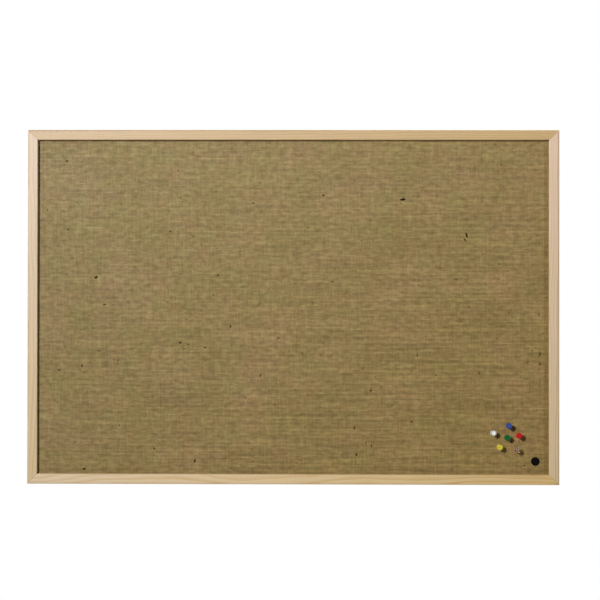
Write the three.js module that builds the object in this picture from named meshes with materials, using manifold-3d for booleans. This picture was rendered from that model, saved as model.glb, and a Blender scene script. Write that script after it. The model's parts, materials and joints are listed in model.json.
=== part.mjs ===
// Hessian notice board in a grooved pine frame, with six push pins.
// Millimetres. +X is right, +Z is up, and the front faces -Y.
// The wall plane is y = 0, and the origin is the middle of the board in that plane.

import * as THREE from 'three';
import { mergeVertices, toCreasedNormals } from 'three/addons/utils/BufferGeometryUtils.js';
import Module from 'manifold-3d';

const wasm = await Module();
wasm.setup();

// Whole board
const boardWidth = 900;
const boardHeight = 600;

// Pine rail, the moulding that all four sides are cut from
const railFace = 17.4;
const frontLip = 6.5;
const rearLip = 3.3;
const grooveDepth = 5;
const outerRound = 4;
const innerRound = 1.4;
const rearArris = 0.5;
const mitreRelief = 0.15;

// Pinning panel: hessian glued to a softboard core, with kraft paper on its back
const clothThickness = 1;
const coreThickness = 9;
const paperThickness = 0.4;
const glueLine = 0.1;
const panelFaceClearance = 0.3;
const panelEdgeClearance = 0.5;

// Steel hanger plate, let in flush at each rear corner
const plateLeg = 58;
const plateWidth = 11;
const plateThickness = 1.5;
const plateInset = 1;
const plateSunk = 0.2;
const plateCornerRound = 2;
const recessClearance = 0.3;
const recessFloorGap = 0.1;

// Keyholes in the hanger plate, measured along a leg from the corner of the board
const keyholeEntryAt = 34;
const keyholeSlotEndAt = 26;
const keyholeEntryRadius = 4;
const keyholeSlotWidth = 4.6;
const pocketHeadRoom = 0.4;
const pocketDepth = 5;

// Countersunk screws of the hanger plate, placed along a leg
const screwPlaces = [16, 50];
const screwLength = 12;
const screwShankRadius = 1.3;
const screwHeadRadius = 2.8;
const screwHeadClearance = 0.15;
const screwPointLength = 2.6;
const pilotClearance = 0.2;
const recessSpan = 2.8;
const recessWidth = 0.7;
const recessDepth = 0.9;
const screwTurn = THREE.MathUtils.degToRad(37);

// V-nail that pulls each mitre together, driven in from the back
const nailArm = 6.5;
const nailGauge = 0.5;
const nailDepth = 8;
const nailSunk = 0.4;
const nailClearance = 0.2;

// Push pin: a lathe-shaped plastic handle on a steel needle
const handleHeight = 12.5;
const headDiscRadius = 4.7;
const headDiscThickness = 1.9;
const headCrown = 0.4;
const crownKneeShares = [0.6, 0.8];
const waistRadius = 2.5;
const waistShares = [0.16, 0.5];
const flareShares = [0.5, 0.88];
const collarRadius = 4.6;
const collarThickness = 1.5;
const collarEdgeRound = 0.5;
const bossRadius = 1.9;
const bossHeight = 1;
const needleRadius = 0.55;
const needleExposed = 10.5;
const needleInHandle = 5.3;
const needlePointLength = 3;
const needleSeatClearance = 0.12;
const needleHoleClearance = 0.25;
const pinStandOff = 2;

// Badge: a small domed disc stuck on the cloth, left plain
const badgeRadius = 7.25;
const badgeRim = 0.9;
const badgeHeight = 1.6;
const badgeFromSide = 22.8;
const badgeFromBottom = 22.2;

// One overrun for every cutting tool that has to pass through a face
const overrun = 1;

// Facets on the round forms
const screwSides = 12;
const pinSides = 24;
const needleSides = 10;
const badgeSides = 36;
const domeSteps = 6;
const entrySides = 24;
const cornerSteps = 3;
const capsuleSteps = 6;

const quarterTurn = Math.PI / 2;

// What follows from the sizes above
const grooveWidth = clothThickness + coreThickness + paperThickness
  + 2 * glueLine + 2 * panelFaceClearance;
const railDepth = frontLip + grooveWidth + rearLip;
const panelEdge = railFace - grooveDepth + panelEdgeClearance;
const panelWidth = boardWidth - 2 * panelEdge;
const panelHeight = boardHeight - 2 * panelEdge;
const paperRear = -(rearLip + panelFaceClearance);
const coreRear = paperRear - paperThickness - glueLine;
const clothRear = coreRear - coreThickness - glueLine;
const clothFront = clothRear - clothThickness;
const sightWidth = boardWidth - 2 * railFace;
const sightHeight = boardHeight - 2 * railFace;
const plateCentreLine = plateInset + plateWidth / 2;
const plateRear = -plateSunk;
const recessFloor = plateRear - plateThickness - recessFloorGap;
const pocketRadius = keyholeEntryRadius + pocketHeadRoom;
const needleInBoard = needleExposed - pinStandOff;

// Finishes
const finish = (color, roughness, metalness = 0) =>
  new THREE.MeshStandardMaterial({ color, roughness, metalness });
const pine = finish(0xd9bc91, 0.55);
const hessian = finish(0x8f7b52, 0.95);
const softboard = finish(0x9c8463, 0.95);
const kraft = finish(0xa98256, 0.85);
const zincSteel = finish(0xb4b6b4, 0.35, 0.9);
const brightSteel = finish(0xc4c6c8, 0.25, 1);
const blackPlastic = finish(0x16181b, 0.2);
const pinPlastics = {
  white: finish(0xeef2f2, 0.25),
  blue: finish(0x2c4f9e, 0.25),
  green: finish(0x1c6b38, 0.25),
  red: finish(0xb81f22, 0.25),
  yellow: finish(0xe2cf3c, 0.25),
  clear: new THREE.MeshStandardMaterial({
    color: 0xe8ecec, roughness: 0.1, transparent: true, opacity: 0.35,
  }),
};

// A closed outline of straight sides at right angles, with each corner [x, y, radius] rounded off
function roundedOutline(corners) {
  const outline = new THREE.Shape();
  const count = corners.length;
  corners.forEach(([x, y, radius], index) => {
    const [beforeX, beforeY] = corners[(index + count - 1) % count];
    const [afterX, afterY] = corners[(index + 1) % count];
    const corner = new THREE.Vector2(x, y);
    const inward = new THREE.Vector2(x - beforeX, y - beforeY).normalize();
    const outward = new THREE.Vector2(afterX - x, afterY - y).normalize();
    const start = corner.clone().addScaledVector(inward, -radius);
    if (index === 0) {
      outline.moveTo(start.x, start.y);
    } else {
      outline.lineTo(start.x, start.y);
    }
    if (radius > 0) {
      const centre = start.clone().addScaledVector(outward, radius);
      const end = corner.clone().addScaledVector(outward, radius);
      const fromAngle = start.clone().sub(centre).angle();
      const toAngle = end.clone().sub(centre).angle();
      outline.absarc(centre.x, centre.y, radius, fromAngle, toAngle, inward.cross(outward) < 0);
    }
  });
  outline.closePath();
  return outline;
}

function extruded(outline, depth, curveSegments = cornerSteps) {
  return new THREE.ExtrudeGeometry(outline, { depth, bevelEnabled: false, curveSegments });
}

// Lays an outline drawn across and along the back, and thickens it towards the front from y = rear
function layered(outline, rear, thickness, curveSegments) {
  return extruded(outline, thickness, curveSegments).rotateX(quarterTurn).translate(0, rear, 0);
}

function turned(profile, sides) {
  return new THREE.LatheGeometry(profile.map(([x, y]) => new THREE.Vector2(x, y)), sides);
}

// Points of a quarter ellipse, from its outer end in to its top on the axis
function domePoints(radius, base, rise) {
  return Array.from({ length: domeSteps + 1 }, (_, index) => {
    const angle = (quarterTurn * index) / domeSteps;
    return [index === domeSteps ? 0 : radius * Math.cos(angle), base + rise * Math.sin(angle)];
  });
}

// Booleans: a closed geometry becomes a solid, and a cut solid becomes a geometry again
function solidOf(geometry) {
  const bare = geometry.clone();
  bare.deleteAttribute('normal');
  bare.deleteAttribute('uv');
  const merged = mergeVertices(bare);
  return new wasm.Manifold(new wasm.Mesh({
    numProp: 3,
    vertProperties: new Float32Array(merged.attributes.position.array),
    triVerts: new Uint32Array(merged.index.array),
  }));
}

function geometryOf(solid) {
  const mesh = solid.getMesh();
  const geometry = new THREE.BufferGeometry();
  geometry.setAttribute('position', new THREE.BufferAttribute(mesh.vertProperties, 3));
  geometry.setIndex(new THREE.BufferAttribute(mesh.triVerts, 1));
  return geometry;
}

function cutBy(geometry, tools) {
  return geometryOf(tools.reduce((solid, tool) => solid.subtract(solidOf(tool)), solidOf(geometry)));
}

function named(name, geometry, material) {
  const mesh = new THREE.Mesh(toCreasedNormals(geometry, quarterTurn / 3), material);
  mesh.name = name;
  return mesh;
}

// Hanger plate and its fittings, in the frame of one corner of the board:
// x and z run inwards along the two sides that meet there, and the fittings repeat on both legs
const legFrames = [
  new THREE.Matrix4().makeTranslation(plateCentreLine, 0, 0),
  new THREE.Matrix4().makeRotationY(quarterTurn).setPosition(0, 0, plateCentreLine),
];

function onBothLegs(makeTools) {
  return legFrames.flatMap((frame) => makeTools().map((tool) => tool.applyMatrix4(frame)));
}

function plateOutline(grow) {
  const near = plateInset - grow;
  const across = plateInset + plateWidth + grow;
  const far = plateInset + plateLeg + grow;
  const round = plateCornerRound + grow;
  return roundedOutline([
    [near, near, round], [far, near, round], [far, across, round],
    [across, across, plateCornerRound - grow], [across, far, round], [near, far, round],
  ]);
}

// A round-ended slot along a leg, from the end of the keyhole to its entry
function legSlot(radius, rear, depth) {
  const slot = new THREE.Shape();
  slot.absarc(0, keyholeEntryAt, radius, 0, 2 * quarterTurn);
  slot.absarc(0, keyholeSlotEndAt, radius, 2 * quarterTurn, 4 * quarterTurn);
  slot.closePath();
  return layered(slot, rear, depth, capsuleSteps);
}

function entryHole(rear, depth) {
  return new THREE.CylinderGeometry(keyholeEntryRadius, keyholeEntryRadius, depth, entrySides)
    .translate(0, rear - depth / 2, keyholeEntryAt);
}

// A countersunk screw bore that opens at the rear face of the plate and points to the front
function screwBore(place, clearance) {
  const mouth = screwHeadRadius + screwHeadClearance;
  const wall = screwShankRadius + clearance;
  return turned([
    [0, plateRear - screwLength - clearance],
    [wall, plateRear - screwLength - clearance],
    [wall, plateRear - mouth + wall],
    [mouth, plateRear],
    [mouth, plateRear + overrun],
    [0, plateRear + overrun],
  ], screwSides).translate(0, 0, place);
}

function hangerPlateGeometry() {
  const throughDepth = plateThickness + 2 * overrun;
  const tools = onBothLegs(() => [
    entryHole(plateRear + overrun, throughDepth),
    legSlot(keyholeSlotWidth / 2, plateRear + overrun, throughDepth),
    ...screwPlaces.map((place) => screwBore(place, pilotClearance)),
  ]);
  return cutBy(layered(plateOutline(0), plateRear, plateThickness), tools);
}

function screwGeometry() {
  const shank = turned([
    [0, -screwLength],
    [screwShankRadius, -screwLength + screwPointLength],
    [screwShankRadius, screwShankRadius - screwHeadRadius],
    [screwHeadRadius, 0],
    [0, 0],
  ], screwSides);
  const slotHeight = recessDepth + overrun;
  const slot = (width, length) =>
    new THREE.BoxGeometry(width, slotHeight, length).translate(0, slotHeight / 2 - recessDepth, 0);
  return cutBy(shank, [slot(recessWidth, recessSpan), slot(recessSpan, recessWidth)]);
}

// The V lies across the mitre with its point inwards and one arm in each rail
function nailOutline(grow) {
  const middle = plateCentreLine + nailArm / 2;
  const tip = middle + nailGauge / 2 + grow;
  const heel = middle - nailGauge / 2 - grow;
  const end = middle - nailArm - grow;
  return roundedOutline([
    [tip, tip, 0], [end, tip, 0], [end, heel, 0], [heel, heel, 0], [heel, end, 0], [tip, end, 0],
  ]);
}

function nailGeometry(grow, rear, depth) {
  return layered(nailOutline(grow), rear, depth);
}

// Everything that the fittings of a corner take out of the wood
function cornerTools() {
  const nailPocketDepth = nailSunk + nailDepth + nailClearance;
  return [
    layered(plateOutline(recessClearance), overrun, overrun - recessFloor),
    nailGeometry(nailClearance, recessFloor + overrun, nailPocketDepth + overrun),
    ...onBothLegs(() => [
      legSlot(pocketRadius, recessFloor + overrun, pocketDepth + overrun),
      ...screwPlaces.map((place) => screwBore(place, pilotClearance)),
    ]),
  ];
}

// Rail moulding: the profile runs inwards along x and to the front along -y, and the length along z
function railProfile() {
  const grooveFloor = railFace - grooveDepth;
  const grooveFront = -(rearLip + grooveWidth);
  return roundedOutline([
    [0, 0, rearArris],
    [0, -railDepth, outerRound],
    [railFace, -railDepth, innerRound],
    [railFace, grooveFront, 0],
    [grooveFloor, grooveFront, 0],
    [grooveFloor, -rearLip, 0],
    [railFace, -rearLip, 0],
    [railFace, 0, rearArris],
  ]);
}

// Leans both ends of a straight length back by 45 degrees, so that four of them close a corner
function mitred(geometry, length) {
  const position = geometry.attributes.position;
  for (let index = 0; index < position.count; index += 1) {
    const inset = position.getX(index) + mitreRelief;
    position.setZ(index, position.getZ(index) < length / 2 ? inset : length - inset);
  }
  return geometry;
}

function railGeometry(length) {
  const farCorner = new THREE.Matrix4().makeRotationY(quarterTurn).setPosition(0, 0, length);
  const tools = [
    ...cornerTools(),
    ...cornerTools().map((tool) => tool.applyMatrix4(farCorner)),
  ];
  return cutBy(mitred(extruded(railProfile(), length), length), tools);
}

// One side of the frame, with the fittings of the corner where it starts
function frameSide({ rail, corner, length, xSide, zSide, turns }) {
  const side = new THREE.Group();
  side.position.set((xSide * boardWidth) / 2, 0, (zSide * boardHeight) / 2);
  side.rotation.y = turns * quarterTurn;
  side.add(named(rail, railGeometry(length), pine));
  side.add(named(`${corner}_hanger_plate`, hangerPlateGeometry(), zincSteel));
  side.add(named(`${corner}_mitre_nail`, nailGeometry(0, recessFloor - nailSunk, nailDepth), brightSteel));
  const screw = screwGeometry();
  legFrames.forEach((frame, leg) => screwPlaces.forEach((place, index) => {
    const number = leg * screwPlaces.length + index + 1;
    const mesh = named(`${corner}_screw_${number}`, screw, brightSteel);
    mesh.position.set(0, plateRear, place).applyMatrix4(frame);
    mesh.rotation.y = number * screwTurn;
    side.add(mesh);
  }));
  return side;
}

const sides = [
  { rail: 'left_stile', corner: 'bottom_left', length: boardHeight, xSide: -1, zSide: -1, turns: 0 },
  { rail: 'top_rail', corner: 'top_left', length: boardWidth, xSide: -1, zSide: 1, turns: 1 },
  { rail: 'right_stile', corner: 'top_right', length: boardHeight, xSide: 1, zSide: 1, turns: 2 },
  { rail: 'bottom_rail', corner: 'bottom_right', length: boardWidth, xSide: 1, zSide: -1, turns: 3 },
];

// Push pins: where each needle goes in, as shares of half the cloth in sight,
// and how far each leans to the side and upwards, in degrees
const pins = [
  { colour: 'white', placeShares: [0.78, -0.75], lean: [2.5, 2] },
  { colour: 'blue', placeShares: [0.842, -0.708], lean: [-1.5, 3] },
  { colour: 'green', placeShares: [0.835, -0.779], lean: [1, 4.5] },
  { colour: 'red', placeShares: [0.882, -0.766], lean: [-2, 2.5] },
  { colour: 'yellow', placeShares: [0.807, -0.834], lean: [-2.5, 1.5] },
  { colour: 'clear', placeShares: [0.872, -0.852], lean: [3, 3.5] },
];

// The frame of a pin: its origin where the needle enters the cloth, and +Y out along the needle
function pinFrame({ placeShares, lean }) {
  const [side, up] = lean.map(THREE.MathUtils.degToRad);
  const outwards = new THREE.Vector3(0, -1, 0).applyEuler(new THREE.Euler(-up, 0, side));
  const turn = new THREE.Quaternion().setFromUnitVectors(new THREE.Vector3(0, 1, 0), outwards);
  const [acrossShare, upShare] = placeShares;
  return new THREE.Matrix4().makeRotationFromQuaternion(turn).setPosition(
    (acrossShare * sightWidth) / 2,
    clothFront,
    (upShare * sightHeight) / 2,
  );
}

function handleGeometry() {
  const foot = pinStandOff;
  const collarBase = foot + bossHeight;
  const collarTop = collarBase + collarThickness;
  const discTop = foot + handleHeight - headCrown;
  const discBase = discTop - headDiscThickness;
  const stem = discBase - collarTop;
  const boreRadius = needleRadius + needleSeatClearance;
  const boreEnd = foot + needleInHandle + needleSeatClearance;
  const flareRadius = waistRadius + flareShares[0] * (headDiscRadius - waistRadius);
  return turned([
    [0, boreEnd],
    [boreRadius, boreEnd],
    [boreRadius, foot],
    [bossRadius, foot],
    [bossRadius, collarBase],
    [collarRadius - collarEdgeRound, collarBase],
    [collarRadius, collarBase + collarEdgeRound],
    [collarRadius, collarTop - collarEdgeRound],
    [collarRadius - collarEdgeRound, collarTop],
    [waistRadius, collarTop + waistShares[0] * stem],
    [waistRadius, collarTop + waistShares[1] * stem],
    [flareRadius, collarTop + flareShares[1] * stem],
    [headDiscRadius, discBase],
    [headDiscRadius, discTop],
    [headDiscRadius * crownKneeShares[0], discTop + headCrown * crownKneeShares[1]],
    [0, discTop + headCrown],
  ], pinSides);
}

function needleGeometry() {
  return turned([
    [0, -needleInBoard],
    [needleRadius, -needleInBoard + needlePointLength],
    [needleRadius, pinStandOff + needleInHandle],
    [0, pinStandOff + needleInHandle],
  ], needleSides);
}

// The hole that a needle has made in the cloth and the core, slightly wider than the needle
function needleHole(pin) {
  const radius = needleRadius + needleHoleClearance;
  return turned([
    [0, -needleInBoard - needleHoleClearance],
    [radius, -needleInBoard - needleHoleClearance + needlePointLength],
    [radius, overrun],
    [0, overrun],
  ], needleSides).applyMatrix4(pinFrame(pin));
}

function pushPin(pin) {
  const group = new THREE.Group();
  group.applyMatrix4(pinFrame(pin));
  group.add(named(`${pin.colour}_pin_handle`, handleGeometry(), pinPlastics[pin.colour]));
  group.add(named(`${pin.colour}_pin_needle`, needleGeometry(), brightSteel));
  return group;
}

function panelLayer(rear, thickness) {
  return new THREE.BoxGeometry(panelWidth, thickness, panelHeight).translate(0, rear - thickness / 2, 0);
}

function badgeGeometry() {
  const dome = domePoints(badgeRadius, badgeRim, badgeHeight - badgeRim);
  return turned([[0, 0], [badgeRadius, 0], ...dome], badgeSides);
}

function pinningPanel() {
  const panel = new THREE.Group();
  const holes = () => pins.map(needleHole);
  panel.add(named('hessian_cover', cutBy(panelLayer(clothRear, clothThickness), holes()), hessian));
  panel.add(named('softboard_core', cutBy(panelLayer(coreRear, coreThickness), holes()), softboard));
  panel.add(named('kraft_backing_paper', panelLayer(paperRear, paperThickness), kraft));
  const badge = named('badge_disc', badgeGeometry(), blackPlastic);
  badge.position.set(sightWidth / 2 - badgeFromSide, clothFront - glueLine, badgeFromBottom - sightHeight / 2);
  badge.rotation.x = 2 * quarterTurn;
  panel.add(badge);
  return panel;
}

const noticeBoard = new THREE.Group();
sides.forEach((side) => noticeBoard.add(frameSide(side)));
noticeBoard.add(pinningPanel());
pins.forEach((pin) => noticeBoard.add(pushPin(pin)));

export default noticeBoard;
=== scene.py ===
# %% [markdown]
# # A hessian notice board with six push pins
#
# A pale pine frame holds a softboard panel that is covered with hessian, a coarse plain weave of
# undyed jute. Six push pins wait in the lower right corner, above a small round black badge. The
# CAD model gives every piece its place and size, and its motion. This script only dresses it.
#
# The frame is loaded first and is never moved. Each piece below either gives a CAD part a finish,
# or stands in for it with a finer mesh at the same place.

# %% Load the fixed frame
import json
import math

import bpy
import numpy as np
from mathutils import Matrix, Vector


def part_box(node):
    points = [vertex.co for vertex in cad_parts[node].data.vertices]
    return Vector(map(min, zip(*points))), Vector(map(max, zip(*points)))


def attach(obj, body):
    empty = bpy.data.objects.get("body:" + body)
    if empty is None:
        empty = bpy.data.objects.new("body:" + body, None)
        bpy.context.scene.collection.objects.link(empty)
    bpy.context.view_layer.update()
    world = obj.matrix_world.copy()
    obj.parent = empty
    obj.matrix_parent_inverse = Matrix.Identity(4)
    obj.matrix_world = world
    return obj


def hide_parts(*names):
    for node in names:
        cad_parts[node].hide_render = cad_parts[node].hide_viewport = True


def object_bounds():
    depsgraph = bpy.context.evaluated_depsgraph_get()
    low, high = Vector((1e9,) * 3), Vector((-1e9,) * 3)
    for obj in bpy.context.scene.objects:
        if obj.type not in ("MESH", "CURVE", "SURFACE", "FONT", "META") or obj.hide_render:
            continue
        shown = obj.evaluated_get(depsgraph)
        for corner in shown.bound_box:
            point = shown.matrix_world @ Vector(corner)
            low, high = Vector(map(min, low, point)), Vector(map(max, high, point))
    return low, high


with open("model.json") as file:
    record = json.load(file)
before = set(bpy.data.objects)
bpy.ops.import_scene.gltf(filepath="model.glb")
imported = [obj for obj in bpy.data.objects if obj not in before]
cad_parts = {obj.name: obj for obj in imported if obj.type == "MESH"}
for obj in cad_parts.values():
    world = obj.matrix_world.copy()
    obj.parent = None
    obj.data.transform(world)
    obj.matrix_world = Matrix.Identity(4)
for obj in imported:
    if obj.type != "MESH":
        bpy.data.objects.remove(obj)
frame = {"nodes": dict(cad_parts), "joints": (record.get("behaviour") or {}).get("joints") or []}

cad_low, cad_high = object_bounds()
mm = 0.001
nodes = frame["nodes"]
print("CAD box in mm:", [round((high - low) / mm, 1) for low, high in zip(cad_low, cad_high)])

# %% [markdown]
# ## Camera
#
# The board fills a square photograph almost from edge to edge, seen from straight in front and a
# little to the right of its middle. Its four outer edges fix the camera: the lens length, the place
# and the small turns below put each of them within a quarter of a pixel of the photograph's.
# The camera is built from its own three directions, so that no tracking constraint is needed.

# %% Camera where the photograph was taken
lens_length = 72
camera_place = Vector((0.0313, -2.0483, -0.0018))
turn_left, tilt_up, roll = (math.radians(angle) for angle in (0.5466, 0.3862, 0.0834))

view_to = Vector((
    -math.sin(turn_left) * math.cos(tilt_up),
    math.cos(turn_left) * math.cos(tilt_up),
    math.sin(tilt_up),
))
level = Vector((math.cos(turn_left), math.sin(turn_left), 0))
camera_right = Matrix.Rotation(roll, 3, -view_to) @ level
camera_up = camera_right.cross(view_to)


def add_object(name, data):
    """Puts a new object into the scene, made of a mesh, a lamp or a camera."""
    made = bpy.data.objects.new(name, data)
    bpy.context.scene.collection.objects.link(made)
    return made


camera = add_object("camera", bpy.data.cameras.new("camera"))
camera.data.lens = lens_length
camera.data.sensor_width = 36
camera.matrix_world = Matrix.Translation(camera_place) @ Matrix(
    (camera_right, camera_up, -view_to)
).transposed().to_4x4()
bpy.context.scene.camera = camera
bpy.context.scene.view_settings.view_transform = "Standard"
print("camera at", tuple(round(x, 3) for x in camera_place))

# %% [markdown]
# ## Light
#
# The shadows of the pins fall to the lower right and are dark with soft rims, so one round lamp
# does most of the work from the upper left. At the left stile and the top rail the shadows are
# shorter for their height than at the pins, so the lamp is only about four metres away. The board
# is a third brighter in its upper left corner than in its lower right one. Most of that comes from
# the lamp's distance, and the rest from its beam, which is aimed above the board and fades towards
# its rim. A warm fill lamp keeps the shadows from going black. Three lamps behind the board reach
# only its back and its sides. Gloss doesn't show the two at the sides, because the steel plates
# on the back would mirror them as plain white.

# %% Lamps
def lamp(name, place, size, watts, colour, aim=(0, 0, 0), spread=180, mirrored=True):
    """A soft round lamp whose beam spreads by an angle in degrees. Gloss shows it if mirrored."""
    made = add_object(name, bpy.data.lights.new(name, "AREA"))
    made.data.shape = "DISK"
    made.data.size = size
    made.data.energy = watts
    made.data.spread = math.radians(spread)
    made.data.color = colour
    made.visible_glossy = mirrored
    made.location = place
    made.rotation_mode = "QUATERNION"
    made.rotation_quaternion = (Vector(aim) - Vector(place)).to_track_quat("-Z", "Y")


lamp("key_lamp", (-1.71, -3.37, 1.22), 0.48, 56.2, (1, 0.985, 0.96), aim=(0.05, 0, 1.28), spread=90)
lamp("fill_lamp", (1.2, -2.4, -0.3), 1.6, 0.35, (1, 0.75, 0.5))
lamp("back_lamp", (0.9, 2.4, 2.1), 1.4, 120, (1, 0.98, 0.95))
lamp("left_lamp", (-1.9, 1.6, -0.2), 1.4, 27, (0.97, 0.98, 1), mirrored=False)
lamp("right_lamp", (2.2, 0.45, 0.2), 0.8, 20, (1, 0.98, 0.95), mirrored=False)

# %% [markdown]
# ## Finishes: how the materials are built
#
# Every finish is a Principled shader with a few texture nodes before it. Written out in full a
# node tree takes a page, so these helpers keep it short: `put` adds a node and fills its sockets
# with values or with links, and the others name the operations used most. Colours are given as
# a screen shows them, from 0 to 255, and turned into linear light.

# %% Helpers for node trees
def paint(red, green, blue):
    """A colour as it looks on screen, as the linear colour that Blender's sockets take."""
    shares = (value / 255 for value in (red, green, blue))
    return (*(x / 12.92 if x < 0.04045 else ((x + 0.055) / 1.055) ** 2.4 for x in shares), 1)


def new_finish(name, **sockets):
    """A new material and its tree, with constant values set on the shader's own sockets."""
    material = bpy.data.materials.new(name)
    material.use_nodes = True
    shader = material.node_tree.nodes["Principled BSDF"]
    for socket, value in sockets.items():
        shader.inputs[socket.replace("_", " ")].default_value = value
    return material, material.node_tree


def put(tree, kind, values=None, **settings):
    """Adds one node, and gives its sockets a value or a link each."""
    made = tree.nodes.new(kind)
    for setting, value in settings.items():
        setattr(made, setting, value)
    for socket, value in (values or {}).items():
        if isinstance(value, bpy.types.NodeSocket):
            tree.links.new(value, made.inputs[socket])
        else:
            made.inputs[socket].default_value = value
    return made


def calc(tree, operation, *values, clamp=False):
    """One sum on sockets or numbers."""
    node = put(tree, "ShaderNodeMath", dict(enumerate(values)), operation=operation, use_clamp=clamp)
    return node.outputs[0]


def vector_calc(tree, operation, *values):
    """One sum on vectors, whose answer is a vector or a length."""
    node = put(tree, "ShaderNodeVectorMath", dict(enumerate(values)), operation=operation)
    return node.outputs["Value" if operation == "LENGTH" else "Vector"]


def highest(tree, first, *others):
    """The largest of several values."""
    for other in others:
        first = calc(tree, "MAXIMUM", first, other)
    return first


def join(tree, x, y, z):
    return put(tree, "ShaderNodeCombineXYZ", {0: x, 1: y, 2: z}).outputs[0]


def scaled(tree, *pairs):
    """A vector of three values, each times a factor of its own."""
    return join(tree, *(calc(tree, "MULTIPLY", value, factor) for value, factor in pairs))


def split(tree, vector):
    return put(tree, "ShaderNodeSeparateXYZ", {0: vector}).outputs


print("a screen's mid grey in linear light:", round(paint(128, 128, 128)[0], 3))

# %% [markdown]
# The next helpers are the textures and the ways to blend colours. A factor near 1 makes a colour
# lighter or darker, and three of them tint it. Relief is given as a real depth, so a scratch or a
# fibre is as deep in the render as it would be on the board.

# %% Helpers for textures, colours and relief
def noise(tree, vector, scale=1, detail=2, roughness=0.5):
    """Soft random values round 0.5 from the first output, and three more from the colour."""
    return put(tree, "ShaderNodeTexNoise", {
        "Vector": vector, "Scale": scale, "Detail": detail, "Roughness": roughness,
    })


def ramp(tree, value, start, end, low=0, high=1, soft=True):
    """Maps a stretch of one value onto a stretch of another."""
    return put(tree, "ShaderNodeMapRange", {
        "Value": value, "From Min": start, "From Max": end, "To Min": low, "To Max": high,
    }, interpolation_type="SMOOTHSTEP" if soft else "LINEAR").outputs[0]


def mix(tree, share, first, second, how="MIX"):
    """Blends two colours."""
    node = put(tree, "ShaderNodeMix", {0: share, 6: first, 7: second}, data_type="RGBA", blend_type=how)
    return node.outputs[2]


def shade(tree, colour, factor):
    """Makes a colour lighter or darker by a factor near 1."""
    grey = put(tree, "ShaderNodeCombineColor", {0: factor, 1: factor, 2: factor}).outputs[0]
    return mix(tree, 1.0, colour, grey, how="MULTIPLY")


def tinted(tree, colour, share, first, second):
    """Multiplies a colour by a tint, three factors near 1, that goes from one to another."""
    return mix(tree, 1.0, colour, mix(tree, share, (*first, 1), (*second, 1)), how="MULTIPLY")


def finish_surface(tree, **links):
    """Links computed sockets to the shader, such as Base_Color or Roughness."""
    shader = tree.nodes["Principled BSDF"]
    for socket, value in links.items():
        tree.links.new(value, shader.inputs[socket.replace("_", " ")])


def relief(tree, height, depth, under=None):
    """A bump of a real depth in metres, on top of another one if it is given."""
    values = {"Height": height, "Distance": depth, "Strength": 1}
    if under is not None:
        values["Normal"] = under
    return put(tree, "ShaderNodeBump", values).outputs[0]


def place_of(tree):
    """Where a point lies on its object, which for all but the floor is its place at rest."""
    return put(tree, "ShaderNodeTexCoord").outputs["Object"]


print("texture helpers ready")

# %% [markdown]
# The whole board is painted cooler in colour at its upper left corner and yellower at its lower
# right one, a painted tint of the light. One value that runs from the first corner to the second
# serves the cloth and the wood.

# %% How far a point lies towards the lower right corner
slant_across = 0.75
slant_reach = 0.62


def toward_lower_right(tree):
    """How far a point lies from the upper left corner of the board, 0, to the lower right one, 1."""
    x, _, z = split(tree, place_of(tree))
    slant = calc(tree, "SUBTRACT", calc(tree, "MULTIPLY", x, slant_across), z)
    return ramp(tree, slant, -slant_reach, slant_reach, soft=False)


corner_slant = (slant_across * cad_high.x - cad_low.z) / slant_reach
print("lower right corner, as a share of full age:", round((1 + corner_slant) / 2, 2))

# %% [markdown]
# ## Background
#
# The photograph's background is pure white. The world is white to the camera and to what gloss
# and glass reflect, but only a faint grey as a light, or it would wash out the shadows.

# %% White world that lights only a little
ambient = 0.01

world = bpy.data.worlds.new("white_studio")
world.use_nodes = True
bpy.context.scene.world = world
air = world.node_tree
sky = air.nodes["Background"]
rays = put(air, "ShaderNodeLightPath").outputs
seen = highest(air, *(rays[f"Is {kind} Ray"] for kind in ("Camera", "Glossy", "Transmission")))
air.links.new(ramp(air, seen, 0, 1, ambient, 1, soft=False), sky.inputs["Strength"])
sky.inputs["Color"].default_value = (1, 1, 1, 1)
print("ambient light:", ambient)

# %% [markdown]
# ## Floor
#
# The board hangs on a wall, so the floor lies well below it and out of the photograph. It is a
# pale disc for the other views, and it fades out towards its rim so that no edge shows.

# %% Floor
floor_level = -0.9
floor_radius = 1.5
floor_middle = (0, -0.35)
solid_share = 0.45


def floor_finish():
    material, tree = new_finish("pale_floor", Base_Color=paint(236, 235, 232), Roughness=0.8)
    x, y, _ = split(tree, place_of(tree))
    away = vector_calc(tree, "LENGTH", join(tree, x, y, 0))
    finish_surface(tree, Alpha=ramp(tree, away, solid_share * floor_radius, floor_radius, 1, 0))
    return material


def disc(name, radius, sides):
    """A flat round sheet of one face."""
    turns = np.linspace(0, 2 * math.pi, sides, endpoint=False)
    ring = [(radius * math.cos(turn), radius * math.sin(turn), 0) for turn in turns]
    mesh = bpy.data.meshes.new(name)
    mesh.from_pydata(ring, [], [list(range(sides))])
    return add_object(name, mesh)


floor = disc("floor", floor_radius, 96)
floor.location = (*floor_middle, floor_level)
floor.data.materials.append(floor_finish())
print("floor", floor_level, "m")

# %% [markdown]
# ## Hessian, the cloth
#
# Hessian is a plain weave: each weft thread, which runs across the board, goes over one warp
# thread and under the next. The threads are about 2.3 mm apart, they wander, and they are thick
# in places, because jute is spun unevenly. That is what gives the photograph its short dark and
# light streaks across the board.
#
# A tube for every thread would take millions of faces. Here the cloth is one sheet with a vertex
# at every crossing, lifted or sunk as the threads go over and under, so the weave is in the mesh.
# Each vertex also stores the numbers of its two threads, and the material draws the round yarns
# from them, so the drawn threads bend exactly as the mesh does.

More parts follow.
